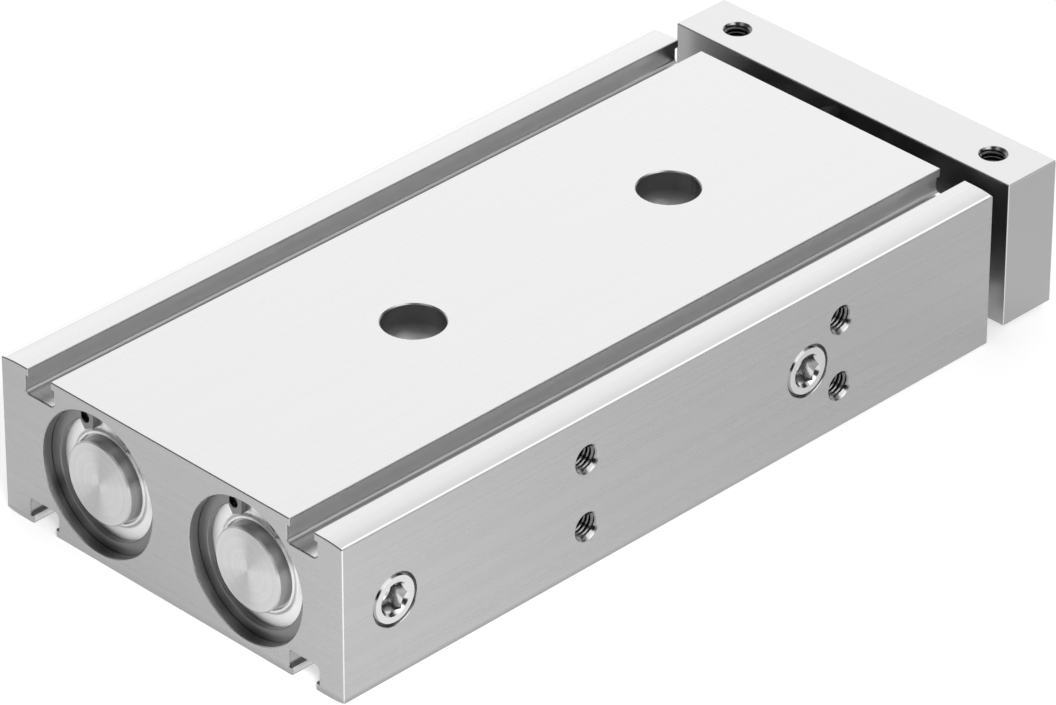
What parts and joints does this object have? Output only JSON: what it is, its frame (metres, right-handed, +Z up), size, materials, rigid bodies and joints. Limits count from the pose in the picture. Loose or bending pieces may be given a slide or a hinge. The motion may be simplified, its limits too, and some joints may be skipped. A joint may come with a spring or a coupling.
{
  "type": "double piston cylinder",
  "caption": "Flat pneumatic actuator: two parallel pistons in one block drive a yoke plate, with sensor slots, side ports and counterbored mounting holes.",
  "frame": {"origin": "centre of the body's bottom face", "axes": "+X along the stroke, from the rear face to the yoke plate; +Y to the left seen along the stroke, the side with the open air ports; +Z up"},
  "size_m": [0.169, 0.08, 0.03],
  "materials": {
    "body_anodised": "brushed along the stroke, clear anodised",
    "yoke_anodised": "fine satin, clear anodised",
    "cap_turned": "turned, bright",
    "plug_metal": "smooth, nickel plated",
    "rod_chrome": "ground and hard chromed",
    "ring_steel": "spring steel, grey phosphate",
    "screw_steel": "zinc plated",
    "seal_rubber": "matte black",
    "bumper_elastomer": "satin amber",
    "bush_bronze": "sintered bronze",
    "magnet_ferrite": "plastic-bonded ferrite"
  },
  "bodies": {
    "cylinder": {"body": "body_anodised", "port_plugs": "plug_metal", "rear_cap_left": "cap_turned", "rear_cap_right": "cap_turned", "rear_cap_oring_left": "seal_rubber", "rear_cap_oring_right": "seal_rubber", "rear_retaining_ring_left": "ring_steel", "rear_retaining_ring_right": "ring_steel", "front_cap_left": "cap_turned", "front_cap_right": "cap_turned", "front_cap_oring_left": "seal_rubber", "front_cap_oring_right": "seal_rubber", "front_retaining_ring_left": "ring_steel", "front_retaining_ring_right": "ring_steel", "guide_bush_left": "bush_bronze", "guide_bush_right": "bush_bronze", "rod_seal_left": "seal_rubber", "rod_seal_right": "seal_rubber", "rod_wiper_left": "seal_rubber", "rod_wiper_right": "seal_rubber"},
    "yoke": {"yoke_plate": "yoke_anodised", "yoke_screws": "screw_steel", "piston_rod_left": "rod_chrome", "piston_rod_right": "rod_chrome", "piston_rear_half_left": "cap_turned", "piston_rear_half_right": "cap_turned", "piston_front_half_left": "cap_turned", "piston_front_half_right": "cap_turned", "piston_magnet_left": "magnet_ferrite", "piston_magnet_right": "magnet_ferrite", "piston_rear_seal_left": "seal_rubber", "piston_rear_seal_right": "seal_rubber", "piston_front_seal_left": "seal_rubber", "piston_front_seal_right": "seal_rubber", "rear_bumper_left": "bumper_elastomer", "rear_bumper_right": "bumper_elastomer", "front_bumper_left": "bumper_elastomer", "front_bumper_right": "bumper_elastomer", "piston_screw_left": "screw_steel", "piston_screw_right": "screw_steel"}
  },
  "joints": [
    {"name": "stroke_slide", "type": "slide", "parent": "cylinder", "child": "yoke", "axis": [1, 0, 0], "range_m": [0, 0.08]}
  ]
}
